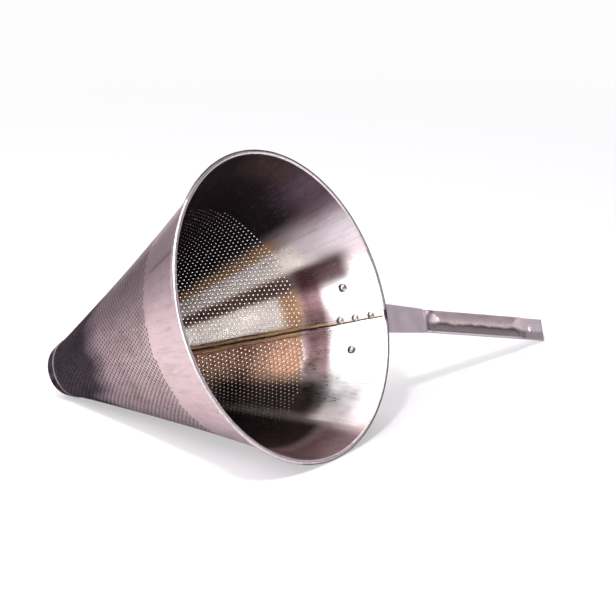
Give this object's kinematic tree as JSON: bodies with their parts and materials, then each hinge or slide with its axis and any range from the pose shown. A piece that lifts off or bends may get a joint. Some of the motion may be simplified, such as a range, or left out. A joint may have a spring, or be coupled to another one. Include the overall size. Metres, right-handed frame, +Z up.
{
  "type": "conical kitchen strainer",
  "caption": "Perforated tinned-metal cone strainer with a rolled rim, a lapped seam and a riveted strap handle that ends in a hollow grip with a hanging hole, lying on its side.",
  "frame": {"origin": "on the floor, under the middle of the box round the strainer as it lies on its rim, the cap on its tip and the end of its handle", "axes": "+Z up; the mouth of the cone looks towards +X and a little up, the tip points towards -X, and the handle runs out towards +Y and slightly down to the floor"},
  "size_m": [0.2796, 0.4766, 0.2252],
  "materials": {
    "tin_sheet": "old tin plate, satin grey with a mauve cast, fine scratches and grime in the holes",
    "rim_wire": "plain iron wire, hidden in the rolled edge",
    "cap_tin": "tin plate gone dark with heat and grime, worn bright along its edge",
    "plate_iron": "tinned iron plate, satin and slightly stained",
    "strap_iron": "tinned iron strap, satin, mauve-grey and lightly scratched",
    "grip_tin": "tin plate worn thin by the hand, brown in the shade of the curve",
    "rivet_iron": "tinned iron rivet with a low domed head, worn bright on top"
  },
  "bodies": {
    "root": {"cone_body": "tin_sheet", "rim_wire": "rim_wire", "tip_cap": "cap_tin", "saddle_plate": "plate_iron", "handle_strap": "strap_iron", "grip_shell": "grip_tin", "seam_rivet_top": "rivet_iron", "seam_rivet_middle": "rivet_iron", "seam_rivet_bottom": "rivet_iron", "plate_rivet_upper": "rivet_iron", "plate_rivet_lower": "rivet_iron"}
  },
  "joints": []
}
